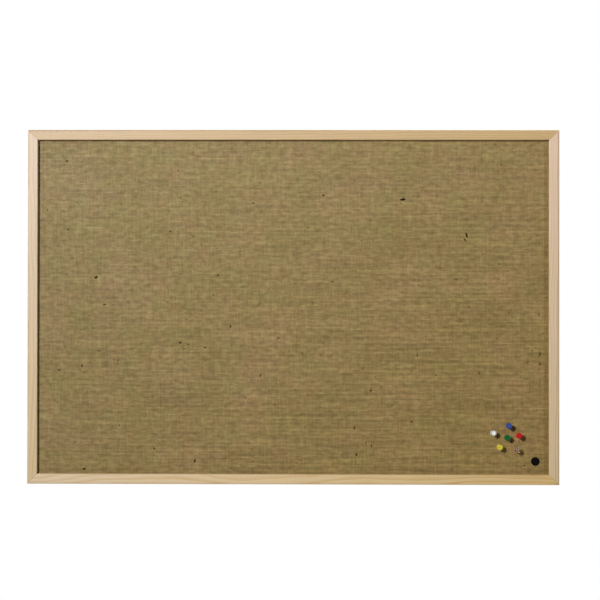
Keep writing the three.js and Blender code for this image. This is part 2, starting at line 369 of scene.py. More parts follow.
# %% The threads of the cloth
cloth_low, cloth_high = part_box("hessian_cover")
cloth_size = cloth_high - cloth_low
cloth_front = cloth_low.y
thread_pitch = 2.3 * mm
warp_threads = round(cloth_size.x / thread_pitch) + 1
weft_threads = round(cloth_size.z / thread_pitch) + 1
weave_rise = 0.09 * mm
weave_room = 0.17 * mm
weave_variation = 0.1
slub_rise = 0.05 * mm
hidden_edge = 5 * mm
sight_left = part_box("left_stile")[1].x
sight_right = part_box("right_stile")[0].x
sight_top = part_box("top_rail")[0].z
cloth_seed = 11


def wander(rng, shape, steps):
    """Random values on a grid, fresh ones every few rows and columns and smooth between them."""
    knots = rng.standard_normal([math.ceil(n / step) + 2 for n, step in zip(shape, steps)])
    for axis, (count, step) in enumerate(zip(shape, steps)):
        at = np.arange(count) / step
        whole = at.astype(int)
        share = (at - whole) ** 2 * (3 - 2 * (at - whole))
        share = share[:, None] if axis == 0 else share[None, :]
        low = np.take(knots, whole, axis)
        knots = low + (np.take(knots, whole + 1, axis) - low) * share
    return knots


def pinned_at(colour):
    """Where a pin's needle passes the front of the cloth, its direction outwards, and its tip."""
    joint = next(j for j in frame["joints"] if j["child"] == f"{colour}_pin")
    outwards = Vector(joint["axis"]).normalized()
    points = [v.co for v in nodes[f"{colour}_pin_needle"].data.vertices]
    tip = min(points, key=lambda point: point.dot(outwards)).copy()
    entry = tip + outwards * ((cloth_front - tip.y) / outwards.y)
    return entry, outwards, tip


pin_colours = ("white", "blue", "green", "red", "yellow", "clear")
pin_places = {colour: pinned_at(colour) for colour in pin_colours}
print("threads:", warp_threads, "warp,", weft_threads, "weft")

# %% [markdown]
# The threads' paths come first, as one grid of x and one of z. Slow drifts move neighbouring
# threads together, and small fast ones make each thread uneven by itself. Both fade out towards
# the edges, which sit straight in the frame's groove. A weaver would call the long bend in the
# weft the bow of the cloth.

# %% Paths of the threads
bow_height = 2.2 * mm
bow_waves = 0.65
bow_start = 0.4
warp_drift, warp_jitter = 0.55 * mm, 0.16 * mm
weft_drift, weft_jitter = 0.6 * mm, 0.18 * mm


def thread_paths(rng):
    """The x and z of every crossing, in metres."""
    across = np.linspace(cloth_low.x, cloth_high.x, warp_threads)
    upwards = np.linspace(cloth_low.z, cloth_high.z, weft_threads)
    x, z = np.meshgrid(across, upwards)
    from_edge = np.minimum.reduce([
        x - cloth_low.x, cloth_high.x - x, z - cloth_low.z, cloth_high.z - z,
    ])
    loose = np.clip((from_edge - hidden_edge / 2) / (6 * hidden_edge), 0, 1)
    bow = bow_height * np.cos(2 * math.pi * bow_waves * x / cloth_size.x + bow_start)
    aside = warp_drift * wander(rng, x.shape, (30, 9)) + warp_jitter * wander(rng, x.shape, (11, 1))
    up = weft_drift * wander(rng, x.shape, (8, 34)) + weft_jitter * wander(rng, x.shape, (1, 12))
    return x + loose * aside, z + loose * (up + bow)


def cell_middles(grid):
    """The middle of each cell between four crossings."""
    return (grid[:-1, :-1] + grid[1:, 1:] + grid[:-1, 1:] + grid[1:, :-1]) / 4


def open_for_needles(x, z):
    """Moves a gap between threads over each needle, and spreads the threads round it."""
    reach = 7 * mm
    needle_room = 0.55 * mm
    cells = []
    for entry, _, _ in pin_places.values():
        middle_x, middle_z = cell_middles(x), cell_middles(z)
        gap = np.hypot(middle_x - entry.x, middle_z - entry.z)
        row, column = np.unravel_index(gap.argmin(), gap.shape)
        pull = np.exp(-(((x - entry.x) ** 2 + (z - entry.z) ** 2) / reach**2))
        x = x + pull * (entry.x - middle_x[row, column])
        z = z + pull * (entry.z - middle_z[row, column])
        far = np.hypot(x - entry.x, z - entry.z)
        fading = np.exp(-((far / (2 * thread_pitch)) ** 2))
        spread = np.sqrt(far**2 + needle_room**2 * fading) / far
        x = entry.x + (x - entry.x) * spread
        z = entry.z + (z - entry.z) * spread
        cells.append((row, column))
    return x, z, cells


rng = np.random.default_rng(cloth_seed)
crossing_x, crossing_z = thread_paths(rng)
crossing_x, crossing_z, needle_cells = open_for_needles(crossing_x, crossing_z)
print("needles pass between threads at cells", [tuple(int(n) for n in cell) for cell in needle_cells])

# %% [markdown]
# The height of each crossing alternates like a chessboard. Slubs, the thick places of a thread,
# lift it a little more. Round each needle the cloth is pressed in, as a pin that is pushed home
# does, and in the gap itself the sheet has a small pit, so that a hole is left when the pin is
# pulled out.

# %% Heights and pits
pit_depth = 0.8 * mm
pit_radius = 0.66 * mm
pit_sides = 8
dimple_depth = 0.3 * mm
dimple_radius = 2.6 * mm


def cloth_heights(rng):
    """How far each crossing stands out from the lowest point of the weave, in metres."""
    rows, columns = np.indices(crossing_x.shape)
    over = np.where((rows + columns) % 2 == 0, 1, -1)
    slubs = np.clip(wander(rng, crossing_x.shape, (1, 7)), 0, 2) * slub_rise / 2
    uneven = 1 + weave_variation * wander(rng, crossing_x.shape, (3, 3))
    heights = weave_room / 2 + over * weave_rise * uneven + slubs
    for entry, _, _ in pin_places.values():
        far = np.hypot(crossing_x - entry.x, crossing_z - entry.z)
        heights = heights - dimple_depth * np.exp(-((far / dimple_radius) ** 2))
    return np.minimum(heights, weave_room)


def add_pit(points, faces, corner_indices, entry):
    """Fills one open cell with a round pit, from its four corners inwards."""
    first = len(points)
    surface = sum(points[index][1] for index in corner_indices) / 4
    for depth in (0, pit_depth):
        for side in range(pit_sides):
            turn = 2 * math.pi * (side + 0.5) / pit_sides
            x = entry.x + pit_radius * math.cos(turn)
            z = entry.z + pit_radius * math.sin(turn)
            points.append((x, surface + depth, z))
    ring = list(range(first, first + pit_sides))
    floor_ring = list(range(first + pit_sides, first + 2 * pit_sides))
    # The corners are lower left, lower right, upper right and upper left, seen from the front.
    # Each has three points of the ring near it, of which the last is shared with the next corner.
    for corner in range(4):
        here, after = corner_indices[corner], corner_indices[(corner + 1) % 4]
        nearest = pit_sides // 2 + corner * pit_sides // 4
        one, two, three = (ring[(nearest + step) % pit_sides] for step in range(3))
        faces += [(here, two, one), (here, three, two), (here, after, three)]
    for side in range(pit_sides):
        after = (side + 1) % pit_sides
        faces.append((ring[side], ring[after], floor_ring[after], floor_ring[side]))
    faces.append(tuple(floor_ring))


heights = cloth_heights(rng)
print("weave in mm:", round(heights.min() / mm, 2), "to", round(heights.max() / mm, 2))

# %% [markdown]
# Now the mesh: a face between every four crossings, a pit in each of the six cells that a needle
# passes through, and a rim. The back of the sheet is one flat face on the softboard, so the mesh
# is closed. Each crossing stores the numbers of its two threads. A point of a pit stores the
# numbers halfway between, and a point of the rim those for its place.

# %% The woven sheet
def woven_sheet():
    """The closed mesh of the cloth, whose first points are the crossings, row by row."""
    level = cloth_front + weave_room
    points = np.stack([crossing_x, level - heights, crossing_z], axis=-1).reshape(-1, 3).tolist()
    index = np.arange(weft_threads * warp_threads).reshape(weft_threads, warp_threads)
    cells = np.stack([index[:-1, :-1], index[:-1, 1:], index[1:, 1:], index[1:, :-1]], axis=-1)
    faces = [tuple(cell) for cell in cells.reshape(-1, 4).tolist()]
    pierced = [row * (warp_threads - 1) + column for row, column in needle_cells]
    for cell, (entry, _, _) in zip(pierced, pin_places.values()):
        add_pit(points, faces, faces[cell], entry)
    faces = [face for number, face in enumerate(faces) if number not in set(pierced)]
    rim = [*index[0, :-1], *index[:-1, -1], *index[-1, :0:-1], *index[:0:-1, 0]]
    first = len(points)
    points += [(points[i][0], cloth_high.y, points[i][2]) for i in rim]
    count = len(rim)
    for side, here in enumerate(rim):
        after = (side + 1) % count
        faces.append((int(here), first + side, first + after, int(rim[after])))
    faces.append(tuple(range(first + count - 1, first - 1, -1)))
    mesh = bpy.data.meshes.new("hessian_cloth")
    mesh.from_pydata(points, [], faces)
    return mesh


def number_threads(mesh):
    """Stores which warp and which weft thread each point lies on."""
    columns = np.interp(
        [v.co.x for v in mesh.vertices],
        np.linspace(cloth_low.x, cloth_high.x, warp_threads), np.arange(warp_threads),
    )
    rows = np.interp(
        [v.co.z for v in mesh.vertices],
        np.linspace(cloth_low.z, cloth_high.z, weft_threads), np.arange(weft_threads),
    )
    grid_rows, grid_columns = np.indices((weft_threads, warp_threads))
    crossings = weft_threads * warp_threads
    columns[:crossings] = grid_columns.ravel()
    rows[:crossings] = grid_rows.ravel()
    for number, (row, column) in enumerate(needle_cells):
        here = crossings + number * 2 * pit_sides
        columns[here:here + 2 * pit_sides] = column + 0.5
        rows[here:here + 2 * pit_sides] = row + 0.5
    vectors = np.stack([columns, rows, 0 * rows], axis=-1).astype(np.float32).ravel()
    mesh.attributes.new("thread", "FLOAT_VECTOR", "POINT").data.foreach_set("vector", vectors)


cloth_mesh = woven_sheet()
number_threads(cloth_mesh)
cloth_mesh.shade_smooth()
cloth = add_object("hessian_cloth", cloth_mesh)
print("cloth:", len(cloth_mesh.vertices), "points,", len(cloth_mesh.polygons), "faces")

# %% [markdown]
# ## Hessian, the finish
#
# The material works in thread numbers, u for the warp and v for the weft. How far each is from a
# whole number is how far a point lies from the middle of its thread, and half an ellipse over
# that distance is the round back of the yarn. A cosine lifts it where it goes over and sinks it
# where it goes under. Of the two yarns the higher one shows, and where neither reaches there is
# a gap, whose colour is darkened as painted shade.
#
# Each yarn has its own run of tone, thickness and hue, stretched along it: that is the noise
# below, read with a large step from one yarn to the next. Slanted fine noise is the twist.

# %% One set of yarns
lane_step = 7.31
run_scale = 0.11
thin_half, thick_half = 0.34, 0.48


def yarns(tree, along, across, offset, swing):
    """Height and colour of one set of yarns, where along and across are in thread numbers."""
    yarn = calc(tree, "ROUND", across)
    beside = calc(tree, "SUBTRACT", across, yarn)
    lane = calc(tree, "MULTIPLY_ADD", yarn, lane_step, offset)
    stretched = join(tree, calc(tree, "MULTIPLY", along, run_scale), lane, 0)
    run = noise(tree, stretched, detail=3.5, roughness=0.62)
    tone, girth, hue = put(tree, "ShaderNodeSeparateColor", {0: run.outputs["Color"]}).outputs
    half = ramp(tree, girth, 0.3, 0.7, thin_half, thick_half, soft=False)
    far = calc(tree, "DIVIDE", beside, half)
    left_over = calc(tree, "SUBTRACT", 1, calc(tree, "MULTIPLY", far, far), clamp=True)
    round_back = calc(tree, "SQRT", left_over)
    wave = calc(tree, "COSINE", calc(tree, "MULTIPLY", calc(tree, "ADD", along, yarn), math.pi))
    height = calc(tree, "MULTIPLY_ADD", wave, swing, round_back)
    # Beside the yarn the height drops far down, so that the other yarn or the gap shows
    height = calc(tree, "ADD", height, ramp(tree, round_back, 0, 0.05, -3, 0, soft=False))
    # Painted shade and light on the round yarn: darker where its back turns away at the edges, a little
    # lighter along its top
    girth_shade = ramp(tree, round_back, 0.1, 0.95, 0.7, 1.07, soft=False)
    # Along and across are mixed here, so the noise is stretched along lines that slant
    twist = noise(tree, join(
        tree,
        calc(tree, "MULTIPLY_ADD", beside, 0.6, calc(tree, "MULTIPLY", along, 1.7)),
        calc(tree, "MULTIPLY_ADD", beside, 13, calc(tree, "MULTIPLY", along, -4.4)),
        lane,
    ), detail=3.5, roughness=0.65).outputs[0]
    return height, tone, hue, twist, girth_shade


print("a yarn covers", round(2 * thin_half, 2), "to", round(2 * thick_half, 2), "of its pitch")

# %% [markdown]
# From across a room single yarns blur, and what is left of the weave are soft dark and
# light dashes where a few thick or thin yarns lie together. Those are patches of tone with sizes in
# millimetres, the strong ones wider than they are high because the weft shows more. The long
# streaks among them grow stronger towards the lower right. A painted tint of the light also turns
# the cloth from a greyer tone to a warmer brown that way, and painted shade darkens it to brown
# beside the right stile, and a little beside the left one and the top rail.

# %% Patches and bands
def patches(tree, width, height, low, high):
    """A factor that varies in soft patches of a width and a height in metres."""
    x, _, z = split(tree, place_of(tree))
    at = join(tree, calc(tree, "DIVIDE", x, width), 0, calc(tree, "DIVIDE", z, height))
    return ramp(tree, noise(tree, at, detail=1).outputs[0], 0.25, 0.75, low, high, soft=False)


def near(tree, place, limit, full, none, strength):
    """A band of some strength beside a limit that fades out between two distances from it."""
    away = calc(tree, "ABSOLUTE", calc(tree, "SUBTRACT", limit, place))
    return ramp(tree, away, full, none, strength, 0)


print("cloth in sight from", round(sight_left / mm, 1), "to", round(sight_right / mm, 1), "mm")

# %% [markdown]
# At each point the finish takes the values of the yarn that shows. Its hue mixes two browns, and
# the rest are factors: its tone, its twist, and painted shade for how deep it lies and how far its
# round back turns away, with a little painted light along its top. The streaks, the patches, the
# painted tint of the light and the painted shade beside the frame are multiplied on top. Weft and
# warp are read from different stretches of the same noise.

# %% Hessian finish
weft_lane, warp_lane = 3.7, 91.3
weft_swing, warp_swing = 0.55, -0.5
gap_level = -0.55
twist_share = 0.45
yarn_relief = 0.32 * mm
# Colour factor of the painted shade beside the frame
frame_shade_tint = (0.66, 0.6, 0.5)


def hessian_finish():
    material, tree = new_finish(
        "hessian", Roughness=0.9, Specular_IOR_Level=0.12, Sheen_Weight=0.06, Sheen_Roughness=0.5,
    )
    u, v, _ = split(tree, put(tree, "ShaderNodeAttribute", attribute_name="thread").outputs["Vector"])
    # The weft goes over at even crossings and the warp at odd ones, so their swings are opposite
    weft, weft_tone, weft_hue, weft_twist, weft_round_shade = yarns(tree, u, v, weft_lane, weft_swing)
    warp, warp_tone, warp_hue, warp_twist, warp_round_shade = yarns(tree, v, u, warp_lane, warp_swing)
    shows_weft = calc(tree, "GREATER_THAN", weft, warp)
    top = highest(tree, weft, warp, gap_level)

    def chosen(of_weft, of_warp):
        picked = put(tree, "ShaderNodeMix", {0: shows_weft, 2: of_warp, 3: of_weft}, data_type="FLOAT")
        return picked.outputs[0]

    tone = chosen(ramp(tree, weft_tone, 0.27, 0.73, 0.95, 1.06, soft=False),
                  ramp(tree, warp_tone, 0.27, 0.73, 0.95, 1.04, soft=False))
    hue = chosen(weft_hue, warp_hue)
    twist = chosen(weft_twist, warp_twist)
    fibre = ramp(tree, twist, 0.25, 0.75, 0.7, 1.34, soft=False)
    # Painted shade: the lower a yarn lies, the darker, and darkest in the gaps between yarns
    deep = ramp(tree, top, gap_level, 0.75, 0.58, 1.0)
    colour = mix(tree, ramp(tree, hue, 0.3, 0.7), paint(157, 137, 93), paint(144, 118, 79))
    for factor in (tone, fibre, deep, chosen(weft_round_shade, warp_round_shade)):
        colour = shade(tree, colour, factor)
    diagonal = toward_lower_right(tree)
    streak_low = ramp(tree, diagonal, 0, 1, 0.92, 0.76)
    streak_high = ramp(tree, diagonal, 0, 1, 1.08, 1.24)
    for width, height, low, high in (
        (12 * mm, 6.2 * mm, 0.78, 1.22), (130 * mm, 5 * mm, streak_low, streak_high),
        (4.6 * mm, 60 * mm, 0.96, 1.04), (110 * mm, 70 * mm, 0.94, 1.06),
    ):
        colour = shade(tree, colour, patches(tree, width, height, low, high))
    for width, height, green, pink in (
        (42 * mm, 30 * mm, (0.965, 1.02, 0.965), (1.035, 0.98, 1.035)),
        (110 * mm, 80 * mm, (0.988, 1.018, 0.935), (1.012, 0.982, 1.065)),
    ):
        colour = tinted(tree, colour, patches(tree, width, height, 0, 1), green, pink)
    # Painted tint of the light: cooler and greyer at the upper left, warmer and browner at the lower
    # right
    colour = tinted(tree, colour, diagonal, (0.9, 1.0, 1.13), (0.99, 0.97, 0.79))
    x, _, z = split(tree, place_of(tree))
    # Painted shade beside the frame: a brown band along the right stile, and fainter ones along the
    # left stile and the top rail
    rim = highest(
        tree,
        near(tree, x, sight_right, 7 * mm, 9 * mm, 0.6),
        near(tree, x, sight_left, 0, 7 * mm, 0.25),
        near(tree, z, sight_top, 0, 7 * mm, 0.3),
    )
    rim = calc(tree, "MULTIPLY", rim, patches(tree, 9 * mm, 9 * mm, 0.5, 1.3), clamp=True)
    colour = tinted(tree, colour, rim, (1, 1, 1), frame_shade_tint)
    height = calc(tree, "MULTIPLY_ADD", twist, twist_share, top)
    finish_surface(tree, Base_Color=colour, Normal=relief(tree, height, yarn_relief))
    return material


cloth.data.materials.append(hessian_finish())
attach(cloth, "board")
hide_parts("hessian_cover")
print("hessian nodes:", len(cloth.data.materials[0].node_tree.nodes))

# %% [markdown]
# ## Bark flecks and loose fibres
#
# Jute comes from the bark of a plant, and slivers of bark stay in the yarn. The photograph shows
# nearly thirty dark ones. Each is a thin ragged sliver that lies in the weave, so it is a small
# closed mesh, partly sunk in the front of the cloth. Measuring programs that were run on the
# photograph gave the places of the dark ones, in millimetres from the middle of the board. They
# were rounded to half a millimetre, and a few were moved. The sizes, turns and darkness were set
# one by one, and corrected after comparing a render with the photograph.

# %% Places of the dark flecks
flecks = [
    # across, up, length, width, turn in degrees, darkness
    (186, 183, 10, 4.6, 3, 1.0), (293.5, 122, 11, 3.4, -72, 0.9), (291, 114, 7, 3, -55, 0.85),
    (-334.5, 50, 6, 4.6, 30, 0.95), (-384.5, 247.5, 4.5, 3, 8, 0.8), (-358, -100, 5, 3.6, 60, 0.75),
    (-397, -107, 4.5, 3, 10, 0.65), (-165.5, -261, 6.5, 3.6, 75, 0.8), (-354, -275, 6, 4, 20, 0.85),
    (104.5, -204.5, 6, 3.2, 78, 0.7), (108, -250, 4.5, 3.4, 60, 0.85), (132, -141.5, 4.5, 3.2, 40, 0.9),
    (-235, -240, 5, 3, -30, 0.65), (-191, -60.5, 5.2, 3.4, 15, 0.8), (418, -79, 7, 2.6, 80, 0.8),
    (418, -95, 6, 2.4, 84, 0.65), (201, -194, 4.2, 2.8, -5, 0.7), (67, 43.5, 4.2, 2.8, 30, 0.65),
    (-67.5, 176, 4.2, 2.8, 12, 0.65), (-208.5, 128, 4, 2.8, -20, 0.6), (51.5, 189.5, 5, 3, 5, 0.7),
    (-127, 53.5, 5, 3.2, 75, 0.65), (-106, -33, 5, 3.2, 70, 0.75), (276, 47, 4, 2.6, 25, 0.6),
    (-55, -116.5, 5, 3, 85, 0.7), (-320, 4, 5.5, 3.2, 10, 0.75), (133, -235, 5.5, 2.6, 80, 0.65),
    (-149, -69, 5, 3, 0, 0.65),
]
print("dark flecks:", len(flecks))

# %% [markdown]
# A sprinkle of small, mostly paler flecks goes between them, at random places. A splinter is a
# tube of ten cross-sections with four points each, and random numbers make its outline ragged.
# All flecks are one mesh, because they are one material and never move.

# %% Splinters of bark
small_flecks = 260
small_fleck_seed = 29
fleck_stations = 10
fleck_section_shares = ((-0.5, 0), (0, 1), (0.5, 0.15), (0.1, -0.6))
fleck_thickness = 0.2 * mm
fleck_sinks = 0.02 * mm
scatter_x = cloth_size.x / 2 - 2 * hidden_edge
scatter_z = cloth_size.z / 2 - 2 * hidden_edge


def add_tube(faces, first, sides, steps):
    """Joins rings of points, from one point's number on, into a tube with two end faces."""
    for step in range(steps):
        for side in range(sides):
            here = first + sides * step + side
            after = first + sides * step + (side + 1) % sides
            faces.append((here, after, after + sides, here + sides))
    end = first + sides * steps
    faces.append(tuple(range(first + sides - 1, first - 1, -1)))
    faces.append(tuple(range(end, end + sides)))


def splinter(rng, points, faces, place, length, width, turn, thick, bend):
    """Adds one closed splinter: ragged in outline, ridged in front and keeled behind."""
    first = len(points)
    stations = np.linspace(-0.5, 0.5, fleck_stations)
    # An ellipse with ragged sides, which keeps a tenth of its width at both ends
    ragged = rng.uniform(0.55, 1.1, fleck_stations)
    widths = 0.1 + 0.9 * np.sqrt(1 - (2 * stations) ** 2) * ragged
    cosine, sine = math.cos(turn), math.sin(turn)
    for station, share in zip(stations, widths):
        along = station * length
        sway = bend * length * (0.25 - station**2) + rng.normal(0, 0.09) * width
        for side, out in fleck_section_shares:
            across = side * width * share + sway
            points.append((
                place[0] + along * cosine - across * sine,
                place[1] - out * thick * share,
                place[2] + along * sine + across * cosine,
            ))
    add_tube(faces, first, len(fleck_section_shares), fleck_stations - 1)


def fleck_mesh():
    rng = np.random.default_rng(small_fleck_seed)
    points, faces, darkness = [], [], []
    rows = [(x * mm, z * mm, length * mm, width * mm, math.radians(turn), dark)
            for x, z, length, width, turn, dark in flecks]
    for _ in range(small_flecks):
        length = rng.uniform(1.6, 5) * mm
        turn = rng.normal(0, 0.35) + (math.pi / 2 if rng.random() < 0.3 else 0)
        rows.append((
            rng.uniform(-scatter_x, scatter_x), rng.uniform(-scatter_z, scatter_z),
            length, length * rng.uniform(0.3, 0.6), turn, rng.uniform(0.05, 0.55),
        ))
    for x, z, length, width, turn, dark in rows:
        before = len(points)
        splinter(rng, points, faces, (x, cloth_front + fleck_sinks, z), length, width, turn,
                 fleck_thickness * (0.5 + dark), rng.normal(0, 0.12))
        darkness += [dark] * (len(points) - before)
    mesh = bpy.data.meshes.new("bark_flecks")
    mesh.from_pydata(points, [], faces)
    mesh.attributes.new("darkness", "FLOAT", "POINT").data.foreach_set("value", darkness)
    return mesh


bark = add_object("bark_flecks", fleck_mesh())
print("flecks in all:", len(flecks) + small_flecks)

# %% [markdown]
# Bark is dull, and darker than the yarn. Each point of the mesh stores how dark its fleck is, and
# the finish mixes a pale and a nearly black brown by that.

# %% Bark finish
bark_relief = 0.05 * mm


def bark_finish():
    material, tree = new_finish("jute_bark", Roughness=0.85, Specular_IOR_Level=0.08)
    dark = put(tree, "ShaderNodeAttribute", attribute_name="darkness").outputs["Fac"]
    grain = noise(tree, place_of(tree), scale=2500, detail=3).outputs[0]
    colour = mix(tree, dark, paint(124, 98, 58), paint(30, 19, 8))
    colour = shade(tree, colour, ramp(tree, grain, 0.3, 0.7, 0.75, 1.2))
    finish_surface(tree, Base_Color=colour, Normal=relief(tree, grain, bark_relief))
    return material


bark.data.materials.append(bark_finish())
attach(bark, "board")
print("bark rides with the board:", len(bark.data.polygons), "faces")

# %% [markdown]
# Fine hairs stand off every jute yarn. Each is a three-sided tube, thinner than a tenth of a
# millimetre, that leaves the cloth, arches over a few threads and goes back in. They are too fine
# to see one by one from across a room, but they soften the cloth in a close view.

# %% Loose fibres
fibre_count = 700
fibre_seed = 5
fibre_radius = 0.045 * mm
fibre_depth = 0.1 * mm
fibre_steps = 7
fibre_sides = 3


def fibre_mesh():
    rng = np.random.default_rng(fibre_seed)
    points, faces = [], []
    for _ in range(fibre_count):
        x = rng.uniform(-1, 1) * scatter_x
        z = rng.uniform(-1, 1) * scatter_z
        turn = rng.uniform(0, 2 * math.pi)
        length = rng.uniform(3, 11) * mm
        rise = rng.uniform(0.15, 0.9) * mm
        curl = rng.normal(0, 1.1)
        first = len(points)
        for step in range(fibre_steps + 1):
            share = step / fibre_steps
            heading = turn + curl * share
            x += math.cos(heading) * length / fibre_steps
            z += math.sin(heading) * length / fibre_steps
            depth = cloth_front + fibre_depth - rise * math.sin(math.pi * share)
            # A fibre is thickest in its middle
            girth = fibre_radius * (0.45 + 0.55 * math.sin(math.pi * (0.15 + 0.7 * share)))
            for side in range(fibre_sides):
                angle = 2 * math.pi * side / fibre_sides
                aside = girth * math.cos(angle)
                points.append((
                    x - aside * math.sin(heading),
                    depth - girth * math.sin(angle),
                    z + aside * math.cos(heading),
                ))
        add_tube(faces, first, fibre_sides, fibre_steps)
    mesh = bpy.data.meshes.new("loose_fibres")
    mesh.from_pydata(points, [], faces)
    mesh.shade_smooth()
    return mesh


def fibre_finish():
    material, tree = new_finish("jute_fibre", Roughness=0.5, Specular_IOR_Level=0.35)
    tint = noise(tree, place_of(tree), scale=120, detail=2).outputs[0]
    finish_surface(tree, Base_Color=mix(tree, tint, paint(198, 178, 128), paint(140, 116, 72)))
    return material


fibres = add_object("loose_fibres", fibre_mesh())
fibres.data.materials.append(fibre_finish())
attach(fibres, "board")
print("fibres:", fibre_count)

# %% [markdown]
# ## Pine, the frame's wood
#
# The frame is cut from one pale pine moulding with a clear wax. A rail is a thin stick out of a
# log, so its long dark lines are growth rings cut almost lengthwise. The material works the same
# way: it measures how far a point is from the log's middle, the pith, and turns that into rings.
# The wood between the rings is pale, and each ring ends in a thin darker line. Noise that is
# stretched along the rail makes the rings wander and adds the fibres.

# %% Pine finish
ring_width = 2.6 * mm
ring_wander = 16 * mm
pine_relief = 0.035 * mm


def pine_finish(name, along, pith, light, deep, low_end, high_end):
    """Planed pine whose grain runs along one axis, from a pith at (depth, across) in metres."""
    material, tree = new_finish(name, Specular_IOR_Level=0.35)
    place = split(tree, place_of(tree))
    run, depth, across = place[along], place[1], place[2 - along]

    def drawn_out(run_scale, cross_scale, **settings):
        at = scaled(tree, (run, run_scale), (depth, cross_scale), (across, cross_scale))
        return noise(tree, at, **settings)

    sway = drawn_out(3.2, 14, detail=3, roughness=0.45).outputs["Color"]
    fibres = drawn_out(28, 900, detail=3, roughness=0.6).outputs[0]
    stain = drawn_out(7, 45, detail=2).outputs[0]
    sways = put(tree, "ShaderNodeSeparateColor", {0: sway}).outputs
    off_pith = [
        calc(tree, "MULTIPLY_ADD", swayed, ring_wander, calc(tree, "SUBTRACT", at, middle))
        for swayed, at, middle in zip(sways, (depth, across), pith)
    ]
    ring = calc(tree, "DIVIDE", vector_calc(tree, "LENGTH", join(tree, *off_pith, 0)), ring_width)
    season = calc(tree, "FRACT", ring)
    year = calc(tree, "FLOOR", ring)
    chance = put(tree, "ShaderNodeTexWhiteNoise", {"W": year}, noise_dimensions="1D").outputs[0]
    late = calc(tree, "MULTIPLY", ramp(tree, season, 0.35, 0.9), ramp(tree, season, 0.93, 1.0, 1, 0))
    late = calc(tree, "MULTIPLY", late, ramp(tree, chance, 0, 1, 0.35, 0.95, soft=False))
    colour = mix(tree, late, light, deep)
    colour = shade(tree, colour, ramp(tree, fibres, 0.25, 0.75, 0.935, 1.055, soft=False))
    colour = shade(tree, colour, ramp(tree, stain, 0.25, 0.75, 0.965, 1.03, soft=False))
    # Painted tint of the light: cooler at the upper left of the board, yellower at its lower right
    colour = tinted(tree, colour, toward_lower_right(tree), (0.96, 1.0, 1.3), (1.0, 0.97, 0.72))
    reach = ramp(tree, run, cad_low[along], cad_high[along], soft=False)
    colour = tinted(tree, colour, reach, low_end, high_end)
    height = calc(tree, "MULTIPLY_ADD", late, 0.5, fibres)
    finish_surface(
        tree, Base_Color=colour, Roughness=ramp(tree, late, 0, 1, 0.55, 0.42, soft=False),
        Normal=relief(tree, height, pine_relief),
    )
    return material


print("rings every", round(ring_width / mm, 1), "mm")

# %% [markdown]
# Each rail is its own piece of wood, so each has its own pith and its own tones. In the
# photograph the rails also change colour along their length, so each end has a tint.

# %% The four pieces of wood
rail_grain = {
    # along which axis, the pith in depth and across, the pale wood and the late wood, and under
    # them the tint of the left or lower end and the tint of the right or upper end
    "top_rail": (0, (0.034, 0.335), paint(196, 169, 123), paint(179, 144, 92),
                 (0.975, 0.98, 0.97), (0.99, 0.975, 0.95)),
    "bottom_rail": (0, (0.047, -0.262), paint(218, 193, 158), paint(200, 166, 118),
                    (1.05, 1.09, 1.11), (0.94, 0.92, 0.9)),
    "left_stile": (2, (0.052, -0.405), paint(208, 185, 147), paint(191, 158, 110),
                   (1.03, 1.03, 0.97), (1.0, 1.0, 1.0)),
    "right_stile": (2, (0.030, 0.482), paint(220, 197, 177), paint(201, 169, 135),
                    (0.9, 0.93, 1.0), (1.02, 0.99, 0.93)),
}
print("rails:", ", ".join(rail_grain))

# %% [markdown]
# The rails' own CAD meshes are the right shape, so they stay, and so do the panel's and the
# metal's below. Their facets arrive unjoined and flat-shaded. Modifiers dress them without
# touching a vertex: weld the seams, round every hard edge a little as sandpaper does where an
# edge width is given, and weight the shading so that flat faces stay flat.

# %% Dress the CAD parts
same_point = 0.001 * mm
sharp_edge = math.radians(40)


def dress(node, material, edge=0):
    """Welds a CAD node's facets, rounds its hard edges by a radius and gives it a finish."""
    part = nodes[node]
    mesh = part.data
    if "custom_normal" in mesh.attributes:
        mesh.attributes.remove(mesh.attributes["custom_normal"])
    mesh.shade_smooth()
    weld = part.modifiers.new("weld", "WELD")
    weld.merge_threshold = same_point
    if edge:
        bevel = part.modifiers.new("eased_edges", "BEVEL")
        bevel.width = edge
        bevel.segments = 2
        bevel.limit_method = "ANGLE"
        bevel.angle_limit = sharp_edge
        bevel.use_clamp_overlap = True
    weighted = part.modifiers.new("flat_faces", "WEIGHTED_NORMAL")
    weighted.weight = 60
    mesh.materials.clear()
    mesh.materials.append(material)


for node, grain in rail_grain.items():
    dress(node, pine_finish(f"pine_{node}", *grain), edge=0.25 * mm)
print("rails dressed:", len(rail_grain))

# %% [markdown]
# ## Softboard and kraft paper
#
# Softboard is pulped wood fibre pressed into a sheet. It hardly shows, but its cut edge and its
# pin holes can, so it has a fibrous finish. The kraft paper glued to its back is the large plain
# surface of the rear view. Short fibres that lie at three slants, faint clouds from the pulp,
# the fine ribs of machine-made paper, a few dark specks and a slight cockle from the glue keep it
# from looking like painted metal.

# %% Panel finishes
board_relief = 0.3 * mm
paper_relief = 0.04 * mm
paper_cockle = 2.5 * mm
paper_rib = 3.5 * mm
paper_fibre = (4 * mm, 1 * mm, 0.35 * mm)
fibre_bend = 2.5 * mm


def softboard_finish():
    material, tree = new_finish("softboard", Roughness=0.95, Specular_IOR_Level=0.1)
    clumps = noise(tree, place_of(tree), scale=420, detail=5, roughness=0.7).outputs[0]
    colour = mix(tree, ramp(tree, clumps, 0.3, 0.7), paint(142, 117, 84), paint(181, 156, 118))
    finish_surface(tree, Base_Color=colour, Normal=relief(tree, clumps, board_relief))
    return material


